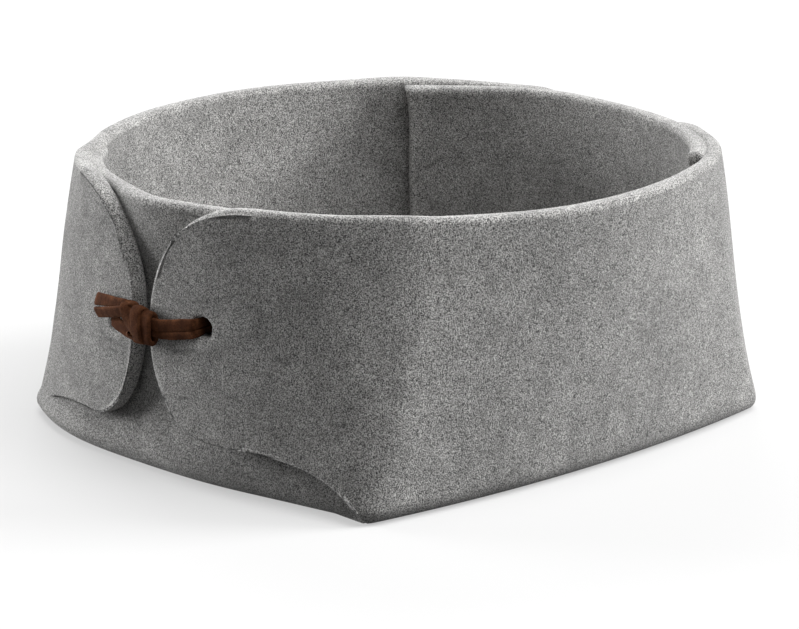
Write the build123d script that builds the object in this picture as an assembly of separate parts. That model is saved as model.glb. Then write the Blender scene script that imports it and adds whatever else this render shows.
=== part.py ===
"""A square-to-round basket folded from one sheet of thick felt and tied at both ends with a lace.

Frame: +X runs along the length, from the left end to the right end, +Z is up, and the origin is the
centre of the underside. The two side walls run on round the corners as wings, which wrap outside the
two end walls. Each end wall is a tab that is held by its base fold alone, so it can tilt inwards.
"""
from build123d import *
from dataclasses import dataclass
from math import atan2, cos, degrees, pi, radians, sin, sqrt
import os

# Overall sizes, in millimetres.
base_length = 194.0          # over the wings, at the middle of each end
base_width = 169.0           # over the side walls, at their middle
rim_length = 198.0
rim_width = 179.0
height = 83.0

# Plan curves of the base and of the rim. Each end, side and corner is an arc that meets the next one
# smoothly, and a corner arc turns from the first angle to the second, counted from the X axis.
base_corner_radius = 16.0
base_corner_start = 28.0
base_corner_finish = 80.7
rim_corner_radius = 60.0
rim_corner_start = 40.0
rim_corner_finish = 66.0

# The felt, and the room between a wing and the end wall behind it, where the lace passes.
felt = 5.0
lace_room = 2.0

# The wings, as they are seen square on to an end.
wing_gap = 8.0               # between the tips of the two wings
wing_foot = 14.5             # height of the lower edge
wing_foot_span = 48.0        # half width at which the lower edge starts to fall towards the corner
wing_foot_corner = 74.0      # half width at which the lower edge reaches the base
wing_lower_radius = 20.0
wing_upper_radius = 26.0

# The end walls.
fold_clearance = 0.3         # between an end wall's lower edge and the base
tab_edge_base = 74.0         # half length at an end wall's side edges, at the base
tab_edge_rim = 66.0          # and at the rim

# The punched lace holes: each end has a long reach to one hole and a short reach to the other.
hole_diameter = 6.0
long_reach = 26.0
short_reach = 12.5
long_hole_height = 48.0
short_hole_height = 45.0

# The suede lace.
lace_width = 3.0
lace_thickness = 1.2
lace_clearance = 0.4         # between the lace and the felt that it lies on
knot_length = 13.0
knot_height = 12.0
knot_depth = 6.5
knot_reach = 6.0             # from the middle of the end to the knot's centre
knot_fillet = 2.5
tail_reach = 14.5
upper_tail_height = 51.0
lower_tail_height = 47.0

beyond = 5.0                 # how far a cutting body runs past what it cuts


@dataclass
class Plan:
    """One closed plan curve: four bowed sides joined by four corner arcs, all tangent."""

    half_length: float
    half_width: float
    corner_radius: float
    corner_start: float
    corner_finish: float

    def reaches(self):
        """Return how far the centres of an end arc and of a side arc lie from a corner arc's centre."""
        start = radians(self.corner_start)
        finish = radians(self.corner_finish)
        along = self.half_length - self.corner_radius
        across = self.half_width - self.corner_radius
        slope = (1 - sin(finish)) / cos(finish)
        end_reach = (across - slope * along) / (sin(start) - slope * (1 - cos(start)))
        side_reach = (along - end_reach * (1 - cos(start))) / cos(finish)
        return end_reach, side_reach

    def inset(self, distance):
        """Return the plan that lies the given distance inside this one."""
        return Plan(
            self.half_length - distance,
            self.half_width - distance,
            self.corner_radius - distance,
            self.corner_start,
            self.corner_finish,
        )

    def end_at(self, across):
        """Return how far out the end lies at the given distance from its middle."""
        radius = self.reaches()[0] + self.corner_radius
        return self.half_length - radius + sqrt(radius ** 2 - across ** 2)

    def face(self, level):
        """Return the plan as a face at the given level."""
        end_reach, side_reach = self.reaches()
        start = radians(self.corner_start)
        finish = radians(self.corner_finish)
        corner_x = side_reach * cos(finish)
        corner_y = end_reach * sin(start)
        end_point, corner_point, side_point = [
            (corner_x + self.corner_radius * cos(angle), corner_y + self.corner_radius * sin(angle))
            for angle in (start, (start + finish) / 2, finish)
        ]
        end_middle = (self.half_length, 0)
        side_middle = (0, self.half_width)

        def arc(points, mirrors):
            """Return the arc through three points of the first quadrant, each mirrored as asked."""
            return ThreePointArc(
                *[(x * mirror_x, y * mirror_y, level) for (x, y), (mirror_x, mirror_y) in zip(points, mirrors)]
            )

        edges = [
            arc((end_point, end_middle, end_point), ((1, -1), (1, 1), (1, 1))),
            arc((end_point, corner_point, side_point), ((1, 1),) * 3),
            arc((side_point, side_middle, side_point), ((1, 1), (1, 1), (-1, 1))),
            arc((side_point, corner_point, end_point), ((-1, 1),) * 3),
            arc((end_point, end_middle, end_point), ((-1, 1), (-1, 1), (-1, -1))),
            arc((end_point, corner_point, side_point), ((-1, -1),) * 3),
            arc((side_point, side_middle, side_point), ((-1, -1), (1, -1), (1, -1))),
            arc((side_point, corner_point, end_point), ((1, -1),) * 3),
        ]
        return make_face(Wire(edges))


base_plan = Plan(base_length / 2, base_width / 2, base_corner_radius, base_corner_start, base_corner_finish)
rim_plan = Plan(rim_length / 2, rim_width / 2, rim_corner_radius, rim_corner_start, rim_corner_finish)
end_lean = degrees(atan2(rim_plan.half_length - base_plan.half_length, height))


def body_inside(distance):
    """Return the square-to-round body whose sides lie the given distance inside the wrap."""
    return loft([base_plan.inset(distance).face(0), rim_plan.inset(distance).face(height)], ruled=True)


def shell_inside(distance, thickness):
    """Return the shell of the given thickness whose outer face lies the given distance inside the wrap."""
    return body_inside(distance) - body_inside(distance + thickness)


def end_at(level, across):
    """Return how far out the wings' outer face lies, at the given height and distance from the middle."""
    share = level / height
    return (1 - share) * base_plan.end_at(across) + share * rim_plan.end_at(across)


def wing_outline(side):
    """Return one wing's outline, square on to the end, on the given side of the middle."""
    tip = wing_gap / 2
    above = height + beyond
    outer = wing_foot_corner + 4 * beyond
    lower_turn = wing_lower_radius * (1 - sin(pi / 4))
    upper_turn = wing_upper_radius * (1 - sin(pi / 4))
    foot_start = (wing_foot_corner, 0)
    foot_middle = ((wing_foot_corner + wing_foot_span) / 2 + wing_foot / 8, 0.72 * wing_foot)
    foot_finish = (wing_foot_span, wing_foot)
    lower_start = (tip + wing_lower_radius, wing_foot)
    lower_middle = (tip + lower_turn, wing_foot + lower_turn)
    lower_finish = (tip, wing_foot + wing_lower_radius)
    upper_start = (tip, height - wing_upper_radius)
    upper_middle = (tip + upper_turn, height - upper_turn)
    upper_finish = (tip + wing_upper_radius, height)

    def place(point):
        return (0, side * point[0], point[1])

    edges = [
        ThreePointArc(place(foot_start), place(foot_middle), place(foot_finish)),
        Line(place(foot_finish), place(lower_start)),
        ThreePointArc(place(lower_start), place(lower_middle), place(lower_finish)),
        Line(place(lower_finish), place(upper_start)),
        ThreePointArc(place(upper_start), place(upper_middle), place(upper_finish)),
        Line(place(upper_finish), place((upper_finish[0], above))),
        Line(place((upper_finish[0], above)), place((outer, above))),
        Line(place((outer, above)), place((outer, 0))),
        Line(place((outer, 0)), place(foot_start)),
    ]
    return make_face(Wire(edges))


def end_window():
    """Return the body that is cut from the wrap at the left end, and leaves the two wings there."""
    inner = -tab_edge_rim
    outer = -(rim_length / 2 + beyond)
    opening = make_face(
        Polyline(
            (0, -wing_foot_corner, -beyond),
            (0, wing_foot_corner, -beyond),
            (0, wing_foot_corner, height + 2 * beyond),
            (0, -wing_foot_corner, height + 2 * beyond),
            close=True,
        )
    )
    for side in (1, -1):
        opening = opening - wing_outline(side)
    return Pos(outer, 0, 0) * extrude(opening, amount=inner - outer, dir=(1, 0, 0))


def lace_hole(reach, level):
    """Return the body that punches one lace hole through a wing at the left end."""
    hole = Cylinder(hole_diameter / 2, 4 * felt, rotation=(0, 90, 0))
    return Pos(-end_at(level, reach), reach, level) * hole


def base_panel():
    """Return the base panel, which runs under the end walls and half way into the side walls."""
    end_shift = felt + lace_room
    side_shift = felt / 2
    panel = Plan(
        base_plan.half_length - end_shift,
        base_plan.half_width - side_shift,
        base_corner_radius - side_shift,
        base_corner_start,
        base_corner_finish,
    )
    return extrude(panel.face(0), amount=felt)


def felt_blank():
    """Return the base panel and the two side walls with their four wings, in one solid."""
    wrap = shell_inside(0, felt)
    for turn in (0, 180):
        wrap -= Rot(0, 0, turn) * end_window()
    blank = wrap + base_panel()
    for turn in (0, 180):
        blank -= Rot(0, 0, turn) * lace_hole(-long_reach, long_hole_height)
        blank -= Rot(0, 0, turn) * lace_hole(short_reach, short_hole_height)
    return blank


def end_wall():
    """Return the left end wall, which stands on the base just inside the wings."""
    shell = shell_inside(felt + lace_room, felt)
    foot = felt + fold_clearance
    side_line = make_face(
        Polyline(
            (-rim_length, 0, foot),
            (-tab_edge_base, 0, foot),
            (-tab_edge_rim, 0, height + beyond),
            (-rim_length, 0, height + beyond),
            close=True,
        )
    )
    keep = extrude(side_line, amount=rim_width, dir=(0, 1, 0), both=True)
    return shell & keep


def lace_band(start, finish, level, width, distance):
    """Return a flat stretch of lace along the left end, with its outer face the given distance inside the wings'."""
    stretch = Box(base_length, finish - start, width)
    return shell_inside(distance, lace_thickness) & (Pos(-base_length / 2, (start + finish) / 2, level) * stretch)


def lace():
    """Return the left lace: doubled through both wings, knotted over the gap, with two short tails."""
    level = (long_hole_height + short_hole_height) / 2
    on_top = -(lace_clearance + lace_thickness)
    behind = felt + lace_clearance
    doubled = 2 * lace_width
    edge = lace_width / 2
    knot_side = end_at(level, 0) + lace_clearance + knot_depth / 2
    knot = Box(knot_depth, knot_length, knot_height)
    knot = fillet(knot.edges(), knot_fillet)
    result = Pos(-knot_side, -knot_reach, level) * Rot(0, -end_lean, 0) * knot
    result += lace_band(-long_reach - edge, short_reach + edge, level, doubled, behind)
    result += lace_band(-long_reach - edge, short_reach + edge, level, doubled, on_top)
    for reach, hole_level in ((-long_reach, long_hole_height), (short_reach, short_hole_height)):
        through = Box(felt + 2 * lace_clearance + lace_thickness, lace_width, lace_width)
        result += Pos(felt / 2 - end_at(hole_level, reach), reach, (hole_level + level) / 2) * through
    for tail_level in (upper_tail_height, lower_tail_height):
        tail = Box(lace_width, tail_reach + knot_reach, lace_width)
        result += Pos(-knot_side, (tail_reach - knot_reach) / 2, tail_level) * tail
    return result


def main():
    """Build every sub-part and write each one to its own STEP file."""
    os.makedirs("parts", exist_ok=True)
    left_wall = end_wall()
    left_lace = lace()
    half_turn = Rot(0, 0, 180)
    nodes = {
        "felt_blank": felt_blank(),
        "end_wall_left": left_wall,
        "end_wall_right": half_turn * left_wall,
        "lace_left": left_lace,
        "lace_right": half_turn * left_lace,
    }
    for name, shape in nodes.items():
        export_step(shape, f"parts/{name}.step")


if __name__ == "__main__":
    main()
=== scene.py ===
"""The finish of a square-to-round felt basket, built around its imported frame.

One thick felt sheet makes the base, the two side walls and the wings that wrap round both ends. Each end
wall is a tab of the same sheet that folds up from the base inside the wings. A suede lace ties each pair
of wings. Everything is in metres, +Z up, in the frame's own axes.
"""

import logging
import math
from dataclasses import dataclass, field, replace
from enum import Enum
from typing import Callable

import bmesh
import bpy
from mathutils import Matrix, Vector, noise


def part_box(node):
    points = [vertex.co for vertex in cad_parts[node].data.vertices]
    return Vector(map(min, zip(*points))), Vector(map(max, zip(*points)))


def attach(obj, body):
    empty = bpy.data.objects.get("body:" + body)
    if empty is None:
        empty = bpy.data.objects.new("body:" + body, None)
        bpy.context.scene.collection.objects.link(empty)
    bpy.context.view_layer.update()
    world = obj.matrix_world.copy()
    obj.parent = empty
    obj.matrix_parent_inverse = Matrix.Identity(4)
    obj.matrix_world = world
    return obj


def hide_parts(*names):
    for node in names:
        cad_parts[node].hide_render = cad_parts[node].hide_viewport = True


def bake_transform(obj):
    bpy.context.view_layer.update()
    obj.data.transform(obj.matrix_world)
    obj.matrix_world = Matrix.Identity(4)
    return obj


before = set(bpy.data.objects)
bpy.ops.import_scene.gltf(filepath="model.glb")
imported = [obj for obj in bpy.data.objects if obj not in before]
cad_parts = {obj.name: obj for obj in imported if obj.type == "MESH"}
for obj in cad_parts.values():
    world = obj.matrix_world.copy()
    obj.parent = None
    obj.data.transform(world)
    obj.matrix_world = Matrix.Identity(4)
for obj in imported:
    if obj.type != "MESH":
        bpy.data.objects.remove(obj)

MM = 0.001
MERGE = 0.02 * MM  # vertices nearer than this are one
EDGE_STEPS = 60  # points along each of the three runs of a wing's edge
CORNER = 1.5  # the station of the middle of a corner
HOLLOW_PEAK = 6.75  # brings share * (1 - share) ** 2 up to a height of 1
RIPPLE_SEED = 1  # makes the felt and the laces wander the same way each run
FLAT_ZONE = 3 * MM  # felt lower than this lies on the ground and stays even
SEAM_ZONE = 6 * MM  # the seams lie lower than this
HOLE_CUT = 0.92  # faces whose middles lie within this many radii of a hole's centre are cut away
HOLE_NEAR = 2.2  # cut edges within this many radii of a hole's centre belong to the hole
LOG = logging.getLogger("felt_basket")


class Body(Enum):
    """The bodies of the frame that pieces ride on."""

    BASKET = "basket"
    LEFT_TAB = "left_tab"
    RIGHT_TAB = "right_tab"


class Slot(Enum):
    """The record's material slots."""

    FELT = "felt"
    SUEDE = "suede"


class Turn(Enum):
    """Turns about Z that bring a left-hand piece to its end of the basket."""

    NONE = 0.0
    HALF = math.pi


def smooth_step(low: float, high: float, value: float) -> float:
    """Rise smoothly from 0 at low to 1 at high.

    Args:
        low: Where the rise starts.
        high: Where the rise ends.
        value: Where it is read.

    Returns:
        A share from 0 to 1.
    """
    share = min(1.0, max(0.0, (value - low) / (high - low)))
    return share * share * (3 - 2 * share)


def hump(centre: float, spread: float, value: float) -> float:
    """Return a bell of height 1 round centre, which has fallen to 0.37 at one spread from it."""
    return math.exp(-(((value - centre) / spread) ** 2))


def mix(low: float, high: float, share: float) -> float:
    """Return the value that lies at a share of the way from low to high."""
    return low + (high - low) * share


@dataclass(frozen=True)
class Plan:
    """A closed plan curve of four bowed sides and four corner arcs, all tangent.

    A corner arc turns from corner_start to corner_finish, in degrees from the X axis. A station counts the
    arcs of a quarter: 0 is the middle of a side, 1 to 2 the corner and 3 the middle of an end.
    """

    half_length: float
    half_width: float
    corner_radius: float
    corner_start: float
    corner_finish: float

    def reaches(self) -> tuple[float, float]:
        """Solve the arcs so that each meets the next smoothly.

        Returns:
            How far the centres of an end arc and of a side arc lie from a corner arc's centre.
        """
        start, finish = math.radians(self.corner_start), math.radians(self.corner_finish)
        along = self.half_length - self.corner_radius
        across = self.half_width - self.corner_radius
        slope = (1 - math.sin(finish)) / math.cos(finish)
        end_reach = (across - slope * along) / (math.sin(start) - slope * (1 - math.cos(start)))
        side_reach = (along - end_reach * (1 - math.cos(start))) / math.cos(finish)
        return end_reach, side_reach

    def spot(self, station: float) -> tuple[float, float, float]:
        """Return the point at a station of the first quarter.

        Args:
            station: From 0 at the middle of a side to 3 at the middle of an end.

        Returns:
            X, Y and the direction that faces outwards there, as an angle from the X axis.
        """
        end_reach, side_reach = self.reaches()
        start, finish = math.radians(self.corner_start), math.radians(self.corner_finish)
        if station < 1:
            radius = side_reach + self.corner_radius
            angle = math.pi / 2 - station * (math.pi / 2 - finish)
            return radius * math.cos(angle), self.half_width - radius * (1 - math.sin(angle)), angle
        if station < 2:
            angle = finish - (station - 1) * (finish - start)
            centre_x, centre_y = side_reach * math.cos(finish), end_reach * math.sin(start)
            radius = self.corner_radius
            return centre_x + radius * math.cos(angle), centre_y + radius * math.sin(angle), angle
        radius = end_reach + self.corner_radius
        angle = start * (3 - station)
        return self.half_length - radius * (1 - math.cos(angle)), radius * math.sin(angle), angle


@dataclass(frozen=True)
class Wing:
    """The outline of one wing, by its reach from the middle of the end and its height.

    The lower edge leaves the base fold at slit and rises to foot. The tip is the part nearest the middle,
    and the upper edge meets the rim at top_reach.
    """

    tip: float
    tip_height: float
    slit: float
    foot: float
    foot_reach: float
    foot_power: float
    lower_power: float
    top_reach: float
    hole_reach: float
    hole_height: float

    def edge(self, height: float) -> list[tuple[float, float]]:
        """Return close points along the edge from the slit to where it meets the rim.

        Args:
            height: Height of the rim.

        Returns:
            Pairs of reach and height.
        """
        points = []
        for step in range(EDGE_STEPS):
            share = 1 - step / EDGE_STEPS
            reach = mix(self.foot_reach, self.slit, share)
            points.append((reach, self.foot - self.foot * share**self.foot_power))
        for step in range(EDGE_STEPS):
            angle = math.pi / 2 * step / EDGE_STEPS
            across = math.sin(angle) ** (2 / self.lower_power)
            down = math.cos(angle) ** (2 / self.lower_power)
            points.append(
                (
                    self.foot_reach - (self.foot_reach - self.tip) * across,
                    self.tip_height - (self.tip_height - self.foot) * down,
                )
            )
        for step in range(EDGE_STEPS + 1):
            angle = math.pi / 2 * step / EDGE_STEPS
            points.append(
                (
                    self.top_reach - (self.top_reach - self.tip) * math.cos(angle),
                    mix(self.tip_height, height, math.sin(angle)),
                )
            )
        return points


def along(points: list[tuple[float, float]], share: float) -> tuple[float, float]:
    """Return the point at a share of a line's length.

    Args:
        points: The line's points.
        share: From 0 at its first point to 1 at its last.

    Returns:
        The point's two coordinates.
    """
    runs = [math.dist(a, b) for a, b in zip(points, points[1:])]
    left = share * sum(runs)
    for start, finish, run in zip(points, points[1:], runs):
        if left <= run:
            part = left / run if run else 0.0
            return mix(start[0], finish[0], part), mix(start[1], finish[1], part)
        left -= run
    return points[-1]


@dataclass(frozen=True)
class Form:
    """The basket's outer face, square at the base and nearly round at the rim."""

    base: Plan
    rim: Plan
    height: float
    felt: float = 5.0 * MM
    fold_radius: float = 5.2 * MM
    left_hollow: float = 1.3 * MM
    right_hollow: float = 2.0 * MM
    right_tuck: float = 0.0
    left_draw: float = 0.6 * MM
    right_draw: float = 0.7 * MM
    left_rise: float = 0.9 * MM
    right_rise: float = -0.3 * MM
    end_rise: float = -0.7 * MM
    middle_rise: float = 0.0
    pinch: float = 0.4 * MM
    pinch_height: float = 46.0 * MM
    pinch_tall: float = 24.0 * MM
    pinch_reach: float = 6.0 * MM
    pinch_wide: float = 34.0 * MM
    corner_spread: float = 0.8
    end_station: float = 2.4
    end_spread: float = 0.6
    wave: float = 0.45 * MM
    wave_size: float = 42.0 * MM

    def fold_inset(self, height: float) -> float:
        """Return how far the rounded fold at the base lies inside the outer face at a height."""
        rest = max(0.0, self.fold_radius - height)
        return self.fold_radius - math.sqrt(max(0.0, self.fold_radius**2 - rest**2))

    def spot(self, station: float, height: float, left: bool) -> Vector:
        """Return a point of the front side wall or its wings.

        Args:
            station: The plan's station, 0 at the middle of the side and 3 at the middle of an end.
            height: Height above the ground.
            left: True on the -X half.

        Returns:
            The point, with Y negative.
        """
        low, high = self.base.spot(station), self.rim.spot(station)
        share = height / self.height
        x, y, angle = (mix(a, b, share) for a, b in zip(low, high))
        corner = hump(CORNER, self.corner_spread, station)
        draw = self.left_draw if left else self.right_draw
        hollow = self.left_hollow if left else self.right_hollow
        out = -corner * (draw * share**2 + hollow * HOLLOW_PEAK * share * (1 - share) ** 2)
        if not left:
            out -= corner * self.right_tuck * (1 - share) ** 2
        out -= self.fold_inset(height)
        pinch = self.pinch * hump(self.pinch_height, self.pinch_tall, height)
        out -= pinch * hump(self.pinch_reach, self.pinch_wide, y)
        rise = (self.left_rise if left else self.right_rise) * corner * share**3
        rise += self.middle_rise * hump(0, 1.0, station) * share**3
        rise += 0.0 if left else self.end_rise * hump(self.end_station, self.end_spread, station) * share**3
        x, y = x + out * math.cos(angle), y + out * math.sin(angle)
        return Vector((-x if left else x, -y, height + rise))

    def station_at(self, reach: float, height: float, inset: float = 0.0) -> float:
        """Return the station of an end at which a face has the given reach.

        Args:
            reach: Distance from the middle of the end.
            height: Height above the ground.
            inset: How far the face lies inside the wrap's outer face.

        Returns:
            The station, from 1 to 3.
        """
        low, high = 1.0, 3.0
        share = height / self.height
        for _ in range(30):
            middle = (low + high) / 2
            base, rim = self.base.spot(middle), self.rim.spot(middle)
            if mix(base[1], rim[1], share) - inset * math.sin(mix(base[2], rim[2], share)) > abs(reach):
                low = middle
            else:
                high = middle
        return (low + high) / 2

    def end_at(self, reach: float, height: float, inset: float) -> float:
        """Return how far out a face inside the wrap lies at an end.

        Args:
            reach: Distance from the middle of the end.
            height: Height above the ground.
            inset: How far the face lies inside the wrap's outer face.

        Returns:
            The distance from the middle of the basket.
        """
        station = self.station_at(reach, height, inset)
        low, high = self.base.spot(station), self.rim.spot(station)
        share = height / self.height
        return mix(low[0], high[0], share) - inset * math.cos(mix(low[2], high[2], share))


def lay_grid(
    mesh: bmesh.types.BMesh, columns: int, rows: int, place: Callable[[int, int], Vector]
) -> list[bmesh.types.BMVert]:
    """Lay out a grid by a rule that gives each crossing its place.

    Args:
        mesh: The mesh the grid is added to.
        columns: Number of cells along.
        rows: Number of cells up.
        place: The rule, from a column and a row to a point.

    Returns:
        The grid's vertices.
    """
    made = bmesh.ops.create_grid(mesh, x_segments=columns, y_segments=rows, size=0.5)["verts"]
    for vert in made:
        column, row = round((vert.co.x + 0.5) * columns), round((vert.co.y + 0.5) * rows)
        vert.co = place(column, row)
    return made


def cut_hole(mesh: bmesh.types.BMesh, centre: Vector, radius: float) -> None:
    """Cut a round hole through a single face of felt.

    Args:
        mesh: The felt's face, before it has a thickness.
        centre: The hole's centre.
        radius: The hole's radius.
    """
    near = [f for f in mesh.faces if (f.calc_center_median() - centre).length < radius * HOLE_CUT]
    bmesh.ops.delete(mesh, geom=near, context="FACES")
    for edge in mesh.edges:
        if edge.is_boundary:
            for vert in edge.verts:
                away = vert.co - centre
                if away.length < radius * HOLE_NEAR:
                    vert.co = centre + away.normalized() * radius


def thicken(
    mesh: bmesh.types.BMesh, felt: float, soften: float, keep: Callable[[Vector], bool]
) -> None:
    """Give a face of felt its thickness, inwards, and soft cut edges, and weight the cut edges for a painted
    highlight.

    Args:
        mesh: The face, with its normals pointing outwards.
        felt: The thickness.
        soften: How far the cut edges are rounded.
        keep: Tells of an edge's middle whether the edge stays square, as at a seam.
    """
    # the cut layer holds how strongly each cut edge is painted lighter, a painted highlight
    cut = mesh.verts.layers.float.new("cut")
    rim = mesh.edges.layers.int.new("rim")
    for edge in mesh.edges:
        edge[rim] = int(edge.is_boundary)
    mesh.normal_update()
    normals = {vert.co.to_tuple(6): vert.normal.copy() for vert in mesh.verts}
    made = bmesh.ops.extrude_face_region(mesh, geom=mesh.faces[:], use_keep_orig=True)["geom"]
    bmesh.ops.reverse_faces(mesh, faces=[f for f in made if isinstance(f, bmesh.types.BMFace)])
    for vert in made:
        if isinstance(vert, bmesh.types.BMVert):
            vert.co -= normals[vert.co.to_tuple(6)] * felt
    bmesh.ops.remove_doubles(mesh, verts=mesh.verts[:], dist=MERGE)
    bmesh.ops.recalc_face_normals(mesh, faces=mesh.faces[:])
    if mesh.calc_volume(signed=True) < 0:
        bmesh.ops.reverse_faces(mesh, faces=mesh.faces[:])
    mesh.normal_update()
    square = math.radians(50)
    sharp = [
        e
        for e in mesh.edges
        if e[rim]
        and len(e.link_faces) == 2
        and e.calc_face_angle() > square
        and e.is_convex
        and not keep((e.verts[0].co + e.verts[1].co) / 2)
    ]
    made = bmesh.ops.bevel(
        mesh, geom=sharp, offset=soften, segments=3, profile=0.5, affect="EDGES", material=-1
    )
    mesh.normal_update()
    for vert in made["verts"]:
        vert[cut] = 1 - 0.7 * vert.normal.z  # painted highlight weight on the cut edges, palest where the edge faces down


def ripple(mesh: bmesh.types.BMesh, depth: float, size: float) -> None:
    """Let thick felt wander a little, as a hand-folded sheet does.

    Args:
        mesh: The closed piece.
        depth: The most that the faces move.
        size: The distance over which they do.
    """
    for vert in mesh.verts:
        if vert.co.z > FLAT_ZONE:
            vert.co += noise.noise_vector(vert.co / size) * depth


def keep_piece(
    mesh: bmesh.types.BMesh, name: str, turn: Turn, material: bpy.types.Material
) -> bpy.types.Object:
    """Turn a finished mesh into place and make it an object at the origin.

    Args:
        mesh: The finished mesh, which is used up.
        name: The piece's name.
        turn: The turn about Z that brings it into place.
        material: Its finish.

    Returns:
        The new object.
    """
    bmesh.ops.rotate(mesh, verts=mesh.verts[:], cent=(0, 0, 0), matrix=Matrix.Rotation(turn.value, 3, "Z"))
    for face in mesh.faces:
        face.smooth = True
    data = bpy.data.meshes.new(name)
    mesh.to_mesh(data)
    mesh.free()
    data.materials.append(material)
    piece = bpy.data.objects.new(name, data)
    bpy.context.scene.collection.objects.link(piece)
    LOG.info("%s: %d faces", name, len(data.polygons))
    return piece


class Graph:
    """A short way to write the nodes of a material or a world."""

    def __init__(self, owner: bpy.types.ID) -> None:
        """Start an empty graph for a new material or world."""
        self.owner = owner
        owner.use_nodes = True
        self.tree = owner.node_tree
        self.tree.nodes.clear()

    def add(self, kind: str, settings: dict | None = None, **inputs: object) -> bpy.types.Node:
        """Add a node, set it and join its inputs.

        Args:
            kind: The node's type, without ShaderNode.
            settings: The node's own properties.
            **inputs: Values or output sockets for its inputs, with _ for a space in a name. A name such
                as i0 picks an input by its number.

        Returns:
            The node.
        """
        node = self.tree.nodes.new("ShaderNode" + kind)
        for key, value in (settings or {}).items():
            setattr(node, key, value)
        for key, value in inputs.items():
            by_number = key[0] == "i" and key[1:].isdigit()
            socket = node.inputs[int(key[1:])] if by_number else node.inputs[key.replace("_", " ")]
            if isinstance(value, bpy.types.NodeSocket):
                self.tree.links.new(value, socket)
            else:
                socket.default_value = value
        return node

    def ramp(self, source: bpy.types.NodeSocket, *stops: tuple[float, float]) -> bpy.types.NodeSocket:
        """Map a value through a curve of grey stops.

        Args:
            source: The value.
            *stops: Pairs of position and result.

        Returns:
            The mapped value.
        """
        node = self.add("ValToRGB", Fac=source)
        band = node.color_ramp
        for number, (position, level) in enumerate(stops):
            if number < 2:
                stop = band.elements[number]
                stop.position = position
            else:
                stop = band.elements.new(position)
            stop.color = (level, level, level, 1)
        return node.outputs["Color"]

    def sum(self, kind: str, first: object, second: object) -> bpy.types.NodeSocket:
        """Join two values by a sum of the given kind, such as ADD or MULTIPLY."""
        return self.add("Math", {"operation": kind}, i0=first, i1=second).outputs[0]


@dataclass(frozen=True)
class FeltFinish:
    """Pressed grey wool: light and dark hairs, cloudy patches, a soft nap and a painted highlight along its
    cut edges.
    """

    name: str = "grey_felt"
    shade: tuple[float, float, float] = (0.222, 0.219, 0.213)
    hair_size: float = 0.37 * MM
    cloud_size: float = 9.0 * MM
    patch_size: float = 34.0 * MM
    nap_depth: float = 0.16 * MM

    def make(self) -> bpy.types.Material:
        """Write the finish's nodes.

        Returns:
            The material.
        """
        graph = Graph(bpy.data.materials.new(self.name))
        place = graph.add("TexCoord").outputs["Object"]
        hairs = graph.add("TexNoise", Vector=place, Scale=1 / self.hair_size, Detail=2.0, Roughness=0.75)
        grit = graph.add("TexNoise", Vector=place, Scale=0.42 / self.hair_size, Detail=1.0, Roughness=0.5)
        warp = graph.add("TexNoise", Vector=place, Scale=1 / (4 * self.cloud_size), Detail=1.0)
        bent = graph.add("VectorMath", {"operation": "MULTIPLY_ADD"}, i0=warp.outputs["Color"])
        bent.inputs[1].default_value = (0.02, 0.02, 0.02)
        graph.tree.links.new(place, bent.inputs[2])
        clouds = graph.add(
            "TexNoise", Vector=bent.outputs[0], Scale=1 / self.cloud_size, Detail=4.0, Roughness=0.62
        )
        patches = graph.add(
            "TexNoise", Vector=bent.outputs[0], Scale=1 / self.patch_size, Detail=3.0, Roughness=0.55
        )
        drawn = graph.add("Mapping", Vector=bent.outputs[0], Rotation=(0.4, 0.5, 0.9), Scale=(1.0, 0.16, 1.0))
        streaks = graph.add(
            "TexNoise", Vector=drawn.outputs[0], Scale=0.42 / MM, Detail=2.0, Roughness=0.6
        )
        value = graph.ramp(hairs.outputs["Fac"], (0.38, 0.05), (0.62, 1.95))
        value = graph.sum("MULTIPLY", value, graph.ramp(grit.outputs["Fac"], (0.3, 0.78), (0.7, 1.22)))
        value = graph.sum("MULTIPLY", value, graph.ramp(clouds.outputs["Fac"], (0.3, 0.8), (0.7, 1.18)))
        value = graph.sum("MULTIPLY", value, graph.ramp(patches.outputs["Fac"], (0.32, 0.9), (0.68, 1.1)))
        value = graph.sum("MULTIPLY", value, graph.ramp(streaks.outputs["Fac"], (0.26, 0.62), (0.4, 1.0)))
        # painted highlight: the cut edges are painted lighter, most where they face down
        cut = graph.add("Attribute", {"attribute_name": "cut"}).outputs["Fac"]
        edge_highlight = graph.add("Math", {"operation": "MULTIPLY_ADD"}, i0=cut, i1=0.27, i2=1.0)
        value = graph.sum("MULTIPLY", value, edge_highlight.outputs[0])
        colour = graph.add(
            "Mix",
            {"data_type": "RGBA", "blend_type": "MULTIPLY"},
            i0=1.0,
            i6=(*self.shade, 1),
            i7=value,
        )
        nap = graph.sum("ADD", hairs.outputs["Fac"], graph.sum("MULTIPLY", clouds.outputs["Fac"], 1.6))
        bump = graph.add("Bump", Height=nap, Strength=0.55, Distance=self.nap_depth * 3)
        cloth = graph.add(
            "BsdfPrincipled",
            Base_Color=colour.outputs[2],
            Roughness=0.95,
            Normal=bump.outputs["Normal"],
        )
        cloth.inputs["Specular IOR Level"].default_value = 0.18
        cloth.inputs["Sheen Weight"].default_value = 0.22
        cloth.inputs["Sheen Roughness"].default_value = 0.6
        graph.add("OutputMaterial", Surface=cloth.outputs[0])
        return graph.owner


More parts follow.
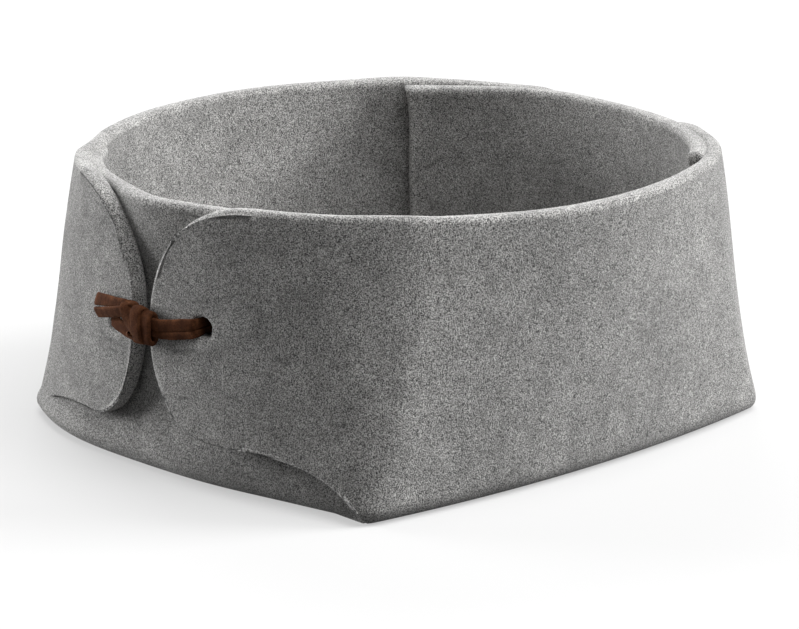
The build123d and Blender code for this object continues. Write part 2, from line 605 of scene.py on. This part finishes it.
@dataclass(frozen=True)
class SuedeFinish:
    """Dark brown suede with a short nap, worn lighter along its edges."""

    name: str = "brown_suede"
    shade: tuple[float, float, float] = (0.050, 0.0165, 0.0066)
    worn: tuple[float, float, float] = (0.092, 0.036, 0.016)

    def make(self) -> bpy.types.Material:
        """Write the finish's nodes.

        Returns:
            The material.
        """
        graph = Graph(bpy.data.materials.new(self.name))
        place = graph.add("TexCoord").outputs["Object"]
        nap = graph.add("TexNoise", Vector=place, Scale=2.2 / MM, Detail=3.0, Roughness=0.7)
        blotch = graph.add("TexNoise", Vector=place, Scale=0.35 / MM, Detail=3.0, Roughness=0.6)
        cut = graph.add("Attribute", {"attribute_name": "cut"}).outputs["Fac"]
        wear = graph.sum("MULTIPLY", cut, graph.ramp(blotch.outputs["Fac"], (0.35, 0.25), (0.65, 1.0)))
        colour = graph.add(
            "Mix", {"data_type": "RGBA"}, i0=wear, i6=(*self.shade, 1), i7=(*self.worn, 1)
        )
        value = graph.sum(
            "MULTIPLY",
            graph.ramp(nap.outputs["Fac"], (0.3, 0.6), (0.7, 1.45)),
            graph.ramp(blotch.outputs["Fac"], (0.3, 0.7), (0.7, 1.3)),
        )
        shade = graph.add(
            "Mix", {"data_type": "RGBA", "blend_type": "MULTIPLY"}, i0=1.0, i6=colour.outputs[2], i7=value
        )
        bump = graph.add("Bump", Height=nap.outputs["Fac"], Strength=0.6, Distance=0.2 * MM)
        leather = graph.add(
            "BsdfPrincipled", Base_Color=shade.outputs[2], Roughness=0.95, Normal=bump.outputs["Normal"]
        )
        leather.inputs["Specular IOR Level"].default_value = 0.1
        leather.inputs["Sheen Weight"].default_value = 0.0
        graph.add("OutputMaterial", Surface=leather.outputs[0])
        return graph.owner


@dataclass
class Blank:
    """The felt blank: the base panel, the two side walls and their four wings, all in one sheet."""

    form: Form
    back_form: Form
    front_wings: tuple[Wing, Wing]
    back_wings: tuple[Wing, Wing]
    material: bpy.types.Material
    wing_columns: int = 34
    side_columns: int = 36
    corner_columns: int = 10
    curl_rows: int = 5
    wall_rows: int = 35
    panel_rows: int = 60
    hole_radius: float = 3.1 * MM
    soften: float = 1.45 * MM
    slit_station: float = 1.45
    seam_width: float = 2.5 * MM
    flat: tuple[float, float] = (0.305, 0.335)
    flat_area: float = 0.0692
    routes: dict[Wing, tuple[list, list, list]] = field(default_factory=dict)

    def row_share(self, row: int) -> float:
        """Space the rows, closely round the fold.

        Args:
            row: The row, from the ground.

        Returns:
            Its share of the height.
        """
        radius = self.form.fold_radius / self.form.height
        if row <= self.curl_rows:
            return radius * (1 - math.cos(math.pi / 2 * row / self.curl_rows))
        return mix(radius, 1.0, (row - self.curl_rows) / self.wall_rows)

    def fold_station(self, column: int) -> tuple[float, bool]:
        """Space the columns between the slits.

        Args:
            column: The column, from the left slit.

        Returns:
            Its station, and whether it is on the left half.
        """
        half = self.side_columns + self.corner_columns
        away = abs(column - half)
        if away <= self.side_columns:
            return away / self.side_columns, column < half
        share = (away - self.side_columns) / self.corner_columns
        return 1 + share * (self.slit_station - 1), column < half

    def wing_spot(self, wing: Wing, share: float, row_share: float) -> tuple[float, float]:
        """Return a wing's point as a station and a height, blended from its four edges.

        Args:
            wing: The wing's outline.
            share: From 0 at the slit to 1 at the tip.
            row_share: From 0 at the lower edge to 1 at the upper edge.

        Returns:
            The station and the height.
        """
        if wing not in self.routes:
            self.routes[wing] = self.wing_routes(wing)
        low, high, tip = self.routes[wing]
        number = round(share * self.wing_columns)
        bottom, top = low[number], high[number]
        side = (self.slit_station, self.form.height * row_share)
        end = along(tip, row_share)
        corners = low[0], low[-1], high[0], high[-1]
        spot = []
        for axis in (0, 1):
            ruled = mix(bottom[axis], top[axis], row_share) + mix(side[axis], end[axis], share)
            flat = mix(
                mix(corners[0][axis], corners[1][axis], share),
                mix(corners[2][axis], corners[3][axis], share),
                row_share,
            )
            spot.append(ruled - flat)
        return spot[0], spot[1]

    def wing_routes(self, wing: Wing) -> tuple[list, list, list]:
        """Divide a wing's edge into three routes.

        Args:
            wing: The wing's outline.

        Returns:
            Its lower edge, upper edge and tip, as stations and heights.
        """
        form = self.form
        edge = wing.edge(form.height)
        slit_reach = form.base.spot(self.slit_station)[1]
        shift = slit_reach - edge[0][0]
        span = wing.slit - wing.foot_reach
        edge = [(r + shift * max(0.0, (r - wing.foot_reach) / span), z) for r, z in edge]
        lower, upper = 3 * EDGE_STEPS // 2, 5 * EDGE_STEPS // 2
        rim_reach = form.rim.spot(self.slit_station)[1]
        top = edge[upper:][::-1]
        cells = 30
        top = [(mix(rim_reach, top[0][0], cell / cells), form.height) for cell in range(cells)] + top
        places = [number / self.wing_columns for number in range(self.wing_columns + 1)]
        low = self.stations([along(edge[: lower + 1], share) for share in places])
        low[0] = (self.slit_station, 0.0)
        high = self.stations([along(top, share) for share in places])
        high[0] = (self.slit_station, form.height)
        return low, high, self.stations(edge[lower : upper + 1])

    def stations(self, line: list[tuple[float, float]]) -> list[tuple[float, float]]:
        """Return a line's reaches and heights as stations and heights."""
        return [(self.form.station_at(reach, height), height) for reach, height in line]

    def wall_spot(self, column: int, row: int, back: bool = False) -> Vector:
        """Return a point of a side wall or its wings, as it stands at the front.

        Args:
            column: The column, from the left wing's tip.
            row: The row, from the lower edge.
            back: True for the back wall, which is turned half round later.

        Returns:
            The point.
        """
        form = self.back_form if back else self.form
        share = self.row_share(row)
        folds = 2 * (self.side_columns + self.corner_columns)
        if column < self.wing_columns or column > self.wing_columns + folds:
            left = column < self.wing_columns
            out = self.wing_columns - column if left else column - self.wing_columns - folds
            wing = (self.back_wings if back else self.front_wings)[0 if left else 1]
            station, height = self.wing_spot(wing, out / self.wing_columns, share)
            return form.spot(station, height, left)
        station, left = self.fold_station(column - self.wing_columns)
        return form.spot(station, form.height * share, left)

    def panel_spot(self, column: int, row: int) -> Vector:
        """Return a point of the base panel.

        Args:
            column: The column, from the left slits.
            row: The row, from the front fold.

        Returns:
            The point.
        """
        front = self.wall_spot(self.wing_columns + column, 0)
        folds = 2 * (self.side_columns + self.corner_columns)
        back = self.wall_spot(self.wing_columns + folds - column, 0, True)
        return front.lerp(Vector((-back.x, -back.y, back.z)), row / self.panel_rows)

    def hole_spot(self, wing: Wing, left: bool, back: bool) -> Vector:
        """Return the centre of a wing's lace hole on its outer face, as the wall stands at the front.

        Args:
            wing: The wing's outline.
            left: True for the wing at the -X end.
            back: True for the back wall's wing.

        Returns:
            The point.
        """
        form = self.back_form if back else self.form
        station = form.station_at(wing.hole_reach, wing.hole_height)
        return form.spot(station, wing.hole_height, left)

    def build(self) -> bpy.types.Object:
        """Build the blank.

        Returns:
            The piece.
        """
        mesh = bmesh.new()
        folds = 2 * (self.side_columns + self.corner_columns)
        columns = 2 * self.wing_columns + folds
        rows = self.curl_rows + self.wall_rows
        half_turn = Matrix.Rotation(math.pi, 3, "Z")
        for back, wings in ((True, self.back_wings), (False, self.front_wings)):
            lay_grid(mesh, columns, rows, lambda column, row: self.wall_spot(column, row, back))
            for wing, left in zip(wings, (True, False)):
                cut_hole(mesh, self.hole_spot(wing, left, back), self.hole_radius)
            if back:
                bmesh.ops.rotate(mesh, verts=mesh.verts[:], cent=(0, 0, 0), matrix=half_turn)
        lay_grid(mesh, folds, self.panel_rows, self.panel_spot)
        bmesh.ops.remove_doubles(mesh, verts=mesh.verts[:], dist=MERGE)
        bmesh.ops.recalc_face_normals(mesh, faces=mesh.faces[:])
        mesh.faces.ensure_lookup_table()
        lowest = min(mesh.faces, key=lambda f: f.calc_center_median().z + abs(f.calc_center_median().x))
        if lowest.normal.z > 0:
            bmesh.ops.reverse_faces(mesh, faces=mesh.faces[:])
        seam = self.panel_spot(0, 0).x
        thicken(
            mesh,
            self.form.felt,
            self.soften,
            lambda p: p.z < SEAM_ZONE and abs(abs(p.x) - abs(seam)) < self.seam_width,
        )
        ripple(mesh, self.form.wave, self.form.wave_size)
        blank = keep_piece(mesh, "felt_blank_sheet", Turn.NONE, self.material)
        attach(blank, Body.BASKET.value)
        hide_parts("felt_blank")
        return blank


@dataclass
class EndWall:
    """One end wall: a tab of felt that folds up from the base and stands inside the wings."""

    form: Form
    blank: Blank
    material: bpy.types.Material
    rim_drop: float = 2.2 * MM
    rim_inset: float = 6.4 * MM
    inset: float = 6.8 * MM
    fold_zone: tuple[float, float] = (4.0 * MM, 20.0 * MM)
    rim_zone: tuple[float, float] = (50.0 * MM, 80.0 * MM)
    bulge: float = 3.0 * MM
    bulge_zone: tuple[float, float] = (52.0 * MM, 80.0 * MM)
    bulge_spread: float = 15.0 * MM
    crown: float = 0.0
    crown_centre: float = -0.38
    crown_spread: float = 0.32
    columns: int = 64
    strip_rows: int = 6
    curl_rows: int = 6
    wall_rows: int = 35
    fold_reach: float = 76.0 * MM
    rim_reach: float = 66.0 * MM
    far_rim_reach: float = 66.0 * MM
    swell: float = 0.0
    swell_zone: tuple[float, float] = (2.0 * MM, 15.0 * MM)
    swell_reach: float = 48.0 * MM
    swell_spread: float = 34.0 * MM
    dip_share: float = 0.4
    dip_reach: float = -46.0 * MM
    dip_spread: float = 24.0 * MM
    seam_width: float = 0.8 * MM
    seam_clearance: float = 1.2 * MM
    seam_height: float = 12.0 * MM
    flare_height: float = 6.0 * MM
    fold_inset: float = 3.0 * MM
    soften: float = 1.45 * MM
    bend_start: float = 5.0 * MM
    bend_finish: float = 34.0 * MM
    flat: tuple[float, float] = (0.152, 0.097)
    flat_area: float = 0.0132

    def half_span(self, height: float, far: bool) -> float:
        """Return how far the tab reaches to one side of its middle.

        Args:
            height: Height above the ground.
            far: True for the +Y side of the left end wall.

        Returns:
            The reach.
        """
        share = height / self.form.height
        rim = self.far_rim_reach if far else self.rim_reach
        return mix(self.fold_reach, rim, 1 - (1 - share) ** 2)

    def wall_out(self, reach: float, height: float) -> float:
        """Return how far out the outer face lies.

        Args:
            reach: Distance from the middle of the end.
            height: Height above the ground.

        Returns:
            The distance from the middle of the basket.
        """
        form = self.form
        inset = mix(self.fold_inset, self.inset, smooth_step(*self.fold_zone, height))
        inset = mix(inset, self.rim_inset, smooth_step(*self.rim_zone, height))
        bulge = smooth_step(*self.bulge_zone, height) * hump(0, self.bulge_spread, reach)
        out = form.end_at(reach, height, inset) + self.bulge * bulge - form.fold_inset(height)
        low = 1 - smooth_step(*self.swell_zone, height)
        rear = hump(self.swell_reach, self.swell_spread, reach)
        front = hump(self.dip_reach, self.dip_spread, reach)
        out += self.swell * low * (rear - self.dip_share * front)
        seam = abs(self.blank.panel_spot(0, 0).x) + self.seam_clearance
        return max(out, mix(seam, out, smooth_step(0, self.seam_height, height)))

    def spot(self, column: int, row: int) -> Vector:
        """Return a point of the left end wall's outer face.

        Args:
            column: The column, from -Y to +Y.
            row: The row, from the seam in the base to the rim.

        Returns:
            The point.
        """
        form = self.form
        across = 2 * column / self.columns - 1
        radius = form.fold_radius
        slit = self.blank.panel_spot(0, 0)
        if row < self.strip_rows:
            reach = across * abs(slit.y)
            out = mix(abs(slit.x), self.wall_out(reach, 0), row / self.strip_rows)
            return Vector((-out, reach, 0))
        row -= self.strip_rows
        if row <= self.curl_rows:
            height = radius * (1 - math.cos(math.pi / 2 * row / self.curl_rows))
        else:
            crown = self.crown * hump(self.crown_centre, self.crown_spread, across)
            top = form.height - self.rim_drop + crown
            height = mix(radius, top, (row - self.curl_rows) / self.wall_rows)
        flare = smooth_step(0, self.flare_height, height)
        span = mix(abs(slit.y), self.half_span(height, across > 0), flare)
        reach = across * span
        return Vector((-self.wall_out(reach, height), reach, height))

    def build(self, name: str, turn: Turn, body: Body, node: str) -> bpy.types.Object:
        """Build one end wall.

        Args:
            name: The piece's name.
            turn: The turn that brings the left end wall to this end.
            body: The tab's body; not used.
            node: The frame's node that it stands for.

        Returns:
            The piece.
        """
        mesh = bmesh.new()
        rows = self.strip_rows + self.curl_rows + self.wall_rows
        lay_grid(mesh, self.columns, rows, self.spot)
        bmesh.ops.recalc_face_normals(mesh, faces=mesh.faces[:])
        mesh.faces.ensure_lookup_table()
        highest = max(mesh.faces, key=lambda f: f.calc_center_median().z)
        if highest.normal.x > 0:
            bmesh.ops.reverse_faces(mesh, faces=mesh.faces[:])
        seam = abs(self.blank.panel_spot(0, 0).x)
        inside = seam + self.seam_width
        thicken(mesh, self.form.felt, self.soften, lambda p: p.z < SEAM_ZONE and abs(p.x) < inside)
        ripple(mesh, self.form.wave / 2, self.form.wave_size)
        wall = keep_piece(mesh, name, turn, self.material)
        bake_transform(wall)
        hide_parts(node)
        return wall


@dataclass(frozen=True)
class Stop:
    """One control point of a lace's route at the left end.

    Y and height place it on the wings' outer face, out is its distance from that face, width is the lace's
    width there and roll turns its flat side, in degrees.
    """

    y: float
    height: float
    out: float
    width: float = 3.4
    roll: float = 0.0


@dataclass(frozen=True)
class Wrap:
    """One turn of a lace's knot, in millimetres.

    Y and height place its middle. tall and deep are half its height and half its depth, width is the lace's
    width there and lean is how far its top leans towards +Y.
    """

    y: float
    height: float
    tall: float
    deep: float
    width: float
    lean: float


def squared(value: float, power: float) -> float:
    """Return a sine or cosine raised to a power, its sign kept, which squares a round path's corners."""
    return math.copysign(abs(value) ** power, value)


def smooth_route(points: list[Vector], closed: bool = False) -> list[Vector]:
    """Return close points along the smooth spline of a route's control points.

    Args:
        points: The control points.
        closed: True for a loop.

    Returns:
        The points of the line.
    """
    curve = bpy.data.curves.new("route", "CURVE")
    curve.dimensions = "3D"
    line = curve.splines.new("NURBS")
    line.points.add(len(points) - 1)
    for point, place in zip(line.points, points):
        point.co = (*place, 1)
    line.order_u = 3
    line.use_endpoint_u = not closed
    line.use_cyclic_u = closed
    line.resolution_u = 8
    holder = bpy.data.objects.new("route", curve)
    data = bpy.data.meshes.new_from_object(holder)
    found = [vert.co.copy() for vert in data.vertices]
    bpy.data.objects.remove(holder)
    bpy.data.curves.remove(curve)
    bpy.data.meshes.remove(data)
    return found


@dataclass
class Lace:
    """A flat suede lace: two strands from one hole, a knot, a strand to the other hole and two tails."""

    form: Form
    back_form: Form
    material: bpy.types.Material
    thickness: float = 1.3 * MM
    section_cells: int = 20
    edge_squareness: float = 0.36
    face_squareness: float = 0.6
    crown: float = 0.18
    weld: float = 0.005 * MM
    wrap_cells: int = 12
    wrap_squareness: float = 0.7
    wrap_gap: float = 0.8
    back_lean: float = -0.4
    grain_size: float = 2.2 * MM
    grain_depth: float = 0.12 * MM
    upper_strand: tuple[Stop, ...] = (
        Stop(-22.0, 49.2, -6.2, 2.8),
        Stop(-22.3, 49.2, -3.4, 2.9),
        Stop(-22.5, 49.2, -0.8, 3.0),
        Stop(-22.4, 49.1, 0.8, 3.2),
        Stop(-21.1, 48.9, 1.2, 3.4),
        Stop(-17.9, 48.3, 1.4, 3.5),
        Stop(-13.6, 47.4, 1.7, 3.5),
        Stop(-10.1, 46.9, 2.2, 3.4),
        Stop(-6.0, 47.2, 2.4, 3.2),
        Stop(-1.5, 49.4, 2.4, 2.8),
        Stop(2.6, 50.8, 2.9, 2.5),
        Stop(6.0, 50.5, 3.1, 2.6, 6),
        Stop(10.3, 49.9, 3.0, 2.9, 12),
        Stop(14.3, 49.4, 2.8, 3.3, 18),
        Stop(18.7, 48.7, 2.6, 3.9, 22),
    )
    lower_strand: tuple[Stop, ...] = (
        Stop(-21.9, 46.6, -6.2, 2.2),
        Stop(-22.2, 46.6, -3.4, 2.2),
        Stop(-22.4, 46.5, -0.8, 2.2),
        Stop(-22.3, 46.4, 0.8, 2.3),
        Stop(-20.9, 45.9, 1.0, 2.4, -10),
        Stop(-17.6, 45.2, 1.2, 2.5, -14),
        Stop(-13.3, 44.5, 1.5, 2.5, -12),
        Stop(-9.7, 44.1, 1.9, 2.6),
        Stop(-5.5, 45.0, 2.2, 2.8),
        Stop(-1.5, 47.4, 2.6, 3.0),
        Stop(1.7, 49.0, 3.8, 3.2),
        Stop(5.3, 48.2, 4.2, 3.3, -10),
        Stop(9.9, 47.0, 3.9, 3.3, -16),
        Stop(14.3, 45.9, 3.4, 3.3, -20),
        Stop(18.0, 45.0, 3.1, 3.4, -22),
    )
    hidden_strand: tuple[Stop, ...] = (
        Stop(13.0, 43.1, -6.2, 2.6),
        Stop(14.2, 43.1, -3.4, 2.7),
        Stop(14.6, 43.0, -0.6, 2.8),
        Stop(13.4, 43.0, 0.8, 3.0),
        Stop(10.4, 42.8, 1.2, 3.6),
        Stop(5.6, 42.6, 1.7, 4.2),
        Stop(0.6, 42.3, 2.0, 4.4),
        Stop(-2.9, 42.2, 2.0, 4.0),
        Stop(-6.0, 43.0, 1.8, 3.0),
    )
    wraps: tuple[Wrap, ...] = (
        Wrap(-6.2, 45.4, 4.4, 1.5, 3.9, 0.0),
        Wrap(-3.1, 45.8, 4.9, 1.9, 3.9, 0.5),
        Wrap(0.6, 46.6, 4.4, 1.7, 3.9, 2.0),
    )

    def skin(self, y: float, height: float) -> tuple[Vector, Vector]:
        """Find a place on the wings' outer face at the left end.

        Args:
            y: Its Y.
            height: Its height.

        Returns:
            The point, and the way the face looks there.
        """
        form = self.back_form if y > 0 else self.form
        station = form.station_at(y, height)
        point = form.spot(station, height, y <= 0)
        if y > 0:
            point = Vector((-point.x, -point.y, point.z))
        share = height / form.height
        angle = mix(form.base.spot(station)[2], form.rim.spot(station)[2], share)
        return point, Vector((-math.cos(angle), math.copysign(math.sin(angle), y), 0.0))

    def place(self, y: float, height: float, out: float) -> Vector:
        """Return the point at a Y, a height and a distance out from the wings' face, in millimetres."""
        point, facing = self.skin(y * MM, height * MM)
        return point + facing * (out * MM)

    def band(
        self,
        mesh: bmesh.types.BMesh,
        line: list[Vector],
        widths: list[float],
        facings: list[Vector],
        closed: bool,
    ) -> None:
        """Sweep the lace's flat, soft-edged section along a line.

        Args:
            mesh: The mesh it is added to.
            line: Close points along its middle.
            widths: Its width at each point.
            facings: The way its flat side faces at each point.
            closed: True for a loop.
        """
        last = len(line) - 1
        frames = []
        for number, point in enumerate(line):
            before = line[number - 1] if number or closed else point
            after = line[(number + 1) % len(line)] if number < last or closed else point
            ahead = (after - before).normalized()
            out = (facings[number] - ahead * facings[number].dot(ahead)).normalized()
            frames.append((point, out, ahead.cross(out)))

        def spot(column: int, row: int) -> Vector:
            """Return a point of the band's skin."""
            number = column % len(line)
            point, out, side = frames[number]
            turn = 2 * math.pi * row / self.section_cells
            across = squared(math.cos(turn), self.edge_squareness)
            up = squared(math.sin(turn), self.face_squareness)
            crown = 1 + self.crown * (1 - across**2)
            thick = self.thickness / 2 * crown
            return point + side * (across * widths[number] / 2) + out * (up * thick)

        made = lay_grid(mesh, len(line) if closed else last, self.section_cells, spot)
        bmesh.ops.remove_doubles(mesh, verts=made, dist=self.weld)

    def strand(self, mesh: bmesh.types.BMesh, stops: tuple[Stop, ...]) -> None:
        """Add one strand.

        Args:
            mesh: The mesh it is added to.
            stops: The control points of its route.
        """
        line = smooth_route([self.place(stop.y, stop.height, stop.out) for stop in stops])
        widths, facings = [], []
        for number, point in enumerate(line):
            along_share = number / (len(line) - 1) * (len(stops) - 1)
            index = min(int(along_share), len(stops) - 2)
            part = along_share - index
            first, second = stops[index], stops[index + 1]
            widths.append(mix(first.width, second.width, part) * MM)
            roll = math.radians(mix(first.roll, second.roll, part))
            facing = self.skin(point.y, point.z)[1]
            ahead = (line[min(number + 1, len(line) - 1)] - line[max(number - 1, 0)]).normalized()
            if abs(ahead.dot(facing)) > 0.7:
                facing = Vector((0, -1 if point.y < 0 else 1, 0))
            facings.append(Matrix.Rotation(roll, 3, ahead) @ facing)
        for number in range(1, len(facings) - 1):
            facings[number] = (facings[number - 1] + facings[number] + facings[number + 1]).normalized()
        self.band(mesh, line, widths, facings, False)

    def wrap(self, mesh: bmesh.types.BMesh, wrap: Wrap) -> None:
        """Add one turn of the knot.

        Args:
            mesh: The mesh it is added to.
            wrap: The turn's place and sizes.
        """
        centre = self.place(wrap.y, wrap.height, wrap.deep + self.wrap_gap)
        points = []
        for cell in range(self.wrap_cells):
            turn = 2 * math.pi * cell / self.wrap_cells
            across = squared(math.cos(turn), self.wrap_squareness) * wrap.deep
            up = squared(math.sin(turn), self.wrap_squareness) * wrap.tall
            lean = wrap.lean * up / wrap.tall * (1 if across > 0 else self.back_lean)
            points.append(centre + Vector((-across, lean, up)) * MM)
        line = smooth_route(points, True)
        facings = [Vector((p.x - centre.x, 0, (p.z - centre.z) * 0.7)).normalized() for p in line]
        self.band(mesh, line, [wrap.width * MM] * len(line), facings, True)

    def close(self, mesh: bmesh.types.BMesh, name: str, turn: Turn) -> bpy.types.Object:
        """Close the strands' ends, face everything outwards and make the piece.

        Args:
            mesh: The mesh of the strands, which is used up.
            name: The piece's name.
            turn: The turn that brings it to its end.

        Returns:
            The piece.
        """
        ends = [e for e in mesh.edges if e.is_boundary]
        bmesh.ops.holes_fill(mesh, edges=ends, sides=0)
        bmesh.ops.recalc_face_normals(mesh, faces=mesh.faces[:])
        cut = mesh.verts.layers.float.new("cut")
        mesh.normal_update()
        for vert in mesh.verts:
            vert.co += noise.noise_vector(vert.co / self.grain_size) * self.grain_depth
            vert[cut] = smooth_step(0.15, 0.8, sum(e.calc_face_angle(0.0) for e in vert.link_edges))
        return keep_piece(mesh, name, turn, self.material)

    def build(self, side: str, turn: Turn) -> None:
        """Build the lace of one end.

        Args:
            side: The end's word in the names of pieces and nodes.
            turn: The turn that brings the left lace to this end.
        """
        strand = bmesh.new()
        self.strand(strand, self.upper_strand)
        first = self.close(strand, f"lace_{side}_strand", turn)
        knot = bmesh.new()
        self.strand(knot, self.lower_strand)
        self.strand(knot, self.hidden_strand)
        for wrap in self.wraps:
            self.wrap(knot, wrap)
        second = self.close(knot, f"lace_{side}_knot", turn)
        for piece in (first, second):
            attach(piece, Body.BASKET.value)
        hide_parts(f"lace_{side}")
        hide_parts(f"lace_{side}")


@dataclass(frozen=True)
class Lamp:
    """One soft square lamp: its name, where it hangs, its width and its power in watts."""

    name: str
    place: tuple[float, float, float]
    size: float
    power: float

    def hang(self, aim: Vector) -> None:
        """Hang the lamp.

        Args:
            aim: The point it faces.
        """
        data = bpy.data.lights.new(self.name, "AREA")
        data.size, data.energy = self.size, self.power
        lamp = bpy.data.objects.new(self.name, data)
        lamp.location = self.place
        lamp.rotation_mode = "QUATERNION"
        lamp.rotation_quaternion = (aim - Vector(self.place)).to_track_quat("-Z", "Y")
        bpy.context.scene.collection.objects.link(lamp)


@dataclass(frozen=True)
class Studio:
    """The camera, the lamps and the white floor."""

    azimuth: float = -42.703
    elevation: float = 15.456
    distance: float = 910.6 * MM
    lens: float = 135.17
    sensor: float = 36.0
    aim_across: float = 1.085 * MM
    aim_height: float = 29.45 * MM
    lamp_aim: float = 40.0 * MM
    lamps: tuple[Lamp, ...] = (
        Lamp("left_lamp", (-0.75, 1.5, 0.3), 0.8, 37),
        Lamp("right_lamp", (1.36, -0.98, 0.88), 0.8, 48),
        Lamp("top_lamp", (0.05, -0.5, 1.55), 1.2, 30),
        Lamp("back_lamp", (0.7, 1.3, 1.1), 1.0, 20),
    )
    room_light: float = 0.15
    floor_half: float = 6.0
    floor_return: float = 0.12
    floor_shade: float = 0.27
    floor_glow: float = 0.48

    def camera(self) -> None:
        """Place the camera."""
        turn, rise = math.radians(self.azimuth), math.radians(self.elevation)
        back = Vector((math.sin(turn) * math.cos(rise), -math.cos(turn) * math.cos(rise), math.sin(rise)))
        right = Vector((math.cos(turn), math.sin(turn), 0))
        aim = right * self.aim_across + Vector((0, 0, self.aim_height))
        data = bpy.data.cameras.new("camera")
        data.lens, data.sensor_width = self.lens, self.sensor
        camera = bpy.data.objects.new("camera", data)
        camera.location = aim + back * self.distance
        camera.rotation_mode = "QUATERNION"
        camera.rotation_quaternion = (-back).to_track_quat("-Z", "Y")
        bpy.context.scene.collection.objects.link(camera)
        bpy.context.scene.camera = camera

    def white_seen(
        self, graph: Graph, output: str, other: bpy.types.NodeSocket, white: bpy.types.NodeSocket
    ) -> None:
        """Show white to the camera and in reflections, and the other shader to everything else.

        Args:
            graph: The floor's or the room's graph.
            output: The kind of its output node.
            other: The shader that lights the basket.
            white: The shader that is seen.
        """
        rays = graph.add("LightPath").outputs
        seen = graph.sum("MAXIMUM", rays["Is Camera Ray"], rays["Is Glossy Ray"])
        seen = graph.sum("MAXIMUM", seen, rays["Is Transmission Ray"])
        both = graph.add("MixShader", i0=seen, i1=other, i2=white)
        graph.add(output, Surface=both.outputs[0])

    def floor(self) -> None:
        """Lay the floor, which shows white with the basket's shadow on it."""
        mesh = bmesh.new()
        bmesh.ops.create_grid(mesh, x_segments=1, y_segments=1, size=self.floor_half)
        graph = Graph(bpy.data.materials.new("white_floor"))
        matt = graph.add("BsdfDiffuse", Color=(*[self.floor_return] * 3, 1))
        pale = graph.add("BsdfDiffuse", Color=(*[self.floor_shade] * 3, 1))
        glow = graph.add("Emission", Color=(1, 1, 1, 1), Strength=self.floor_glow)
        white = graph.add("AddShader", i0=pale.outputs[0], i1=glow.outputs[0])
        self.white_seen(graph, "OutputMaterial", matt.outputs[0], white.outputs[0])
        keep_piece(mesh, "floor", Turn.NONE, graph.owner)

    def world(self) -> None:
        """Fill the room with soft light that the camera sees as white."""
        graph = Graph(bpy.data.worlds.new("room"))
        soft = graph.add("Background", Color=(1, 1, 1, 1), Strength=self.room_light)
        white = graph.add("Background", Color=(1, 1, 1, 1), Strength=1.0)
        self.white_seen(graph, "OutputWorld", soft.outputs[0], white.outputs[0])
        bpy.context.scene.world = graph.owner

    def build(self) -> None:
        """Set up the whole studio."""
        self.camera()
        self.floor()
        self.world()
        for lamp in self.lamps:
            lamp.hang(Vector((0, 0, self.lamp_aim)))
        bpy.context.scene.view_settings.view_transform = "Standard"


def main() -> None:
    """Build the basket piece by piece and light it."""
    logging.basicConfig(level=logging.INFO, format="%(message)s")
    noise.seed_set(RIPPLE_SEED)
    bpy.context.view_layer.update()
    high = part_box("felt_blank")[1]
    form = Form(
        base=Plan(
            half_length=high.x - 2 * MM,
            half_width=high.y - 5 * MM,
            corner_radius=8 * MM,
            corner_start=20.0,
            corner_finish=80.7,
        ),
        rim=Plan(
            half_length=high.x,
            half_width=high.y,
            corner_radius=60 * MM,
            corner_start=40.0,
            corner_finish=66.0,
        ),
        height=high.z,
        middle_rise=-3.0 * MM,
    )
    back_form = replace(
        form,
        right_draw=4.9 * MM,
        right_hollow=3.1 * MM,
        right_tuck=1.2 * MM,
        middle_rise=1.2 * MM,
        end_rise=0.0,
        left_rise=1.6 * MM,
    )
    long_wing = Wing(
        tip=2.9 * MM,
        tip_height=43 * MM,
        slit=76 * MM,
        foot=15.0 * MM,
        foot_reach=30 * MM,
        foot_power=4.0,
        lower_power=2.3,
        top_reach=39 * MM,
        hole_reach=24.4 * MM,
        hole_height=48.2 * MM,
    )
    short_wing = Wing(
        tip=2.6 * MM,
        tip_height=50 * MM,
        slit=72 * MM,
        foot=12.5 * MM,
        foot_reach=28 * MM,
        foot_power=2.3,
        lower_power=2.0,
        top_reach=36 * MM,
        hole_reach=14.2 * MM,
        hole_height=43.1 * MM,
    )
    front_wings = (long_wing, replace(short_wing, top_reach=42 * MM))
    back_wings = (replace(long_wing, top_reach=32 * MM), short_wing)
    felt = FeltFinish().make()
    suede = SuedeFinish().make()
    blank = Blank(form, back_form, front_wings, back_wings, felt)
    blank.build()
    left_wall = EndWall(form, blank, felt, swell=4.6 * MM)
    left_wall.build("end_wall_left_tab", Turn.NONE, Body.LEFT_TAB, "end_wall_left")
    right_wall = EndWall(
        form,
        blank,
        felt,
        rim_drop=0.3 * MM,
        rim_inset=5.05 * MM,
        bulge=0.0,
        crown=0.9 * MM,
        far_rim_reach=71 * MM,
    )
    right_wall.build("end_wall_right_tab", Turn.HALF, Body.RIGHT_TAB, "end_wall_right")
    lace = Lace(form, back_form, suede)
    lace.build("left", Turn.NONE)
    lace.build("right", Turn.HALF)
    Studio().build()


if __name__ == "__main__":
    main()
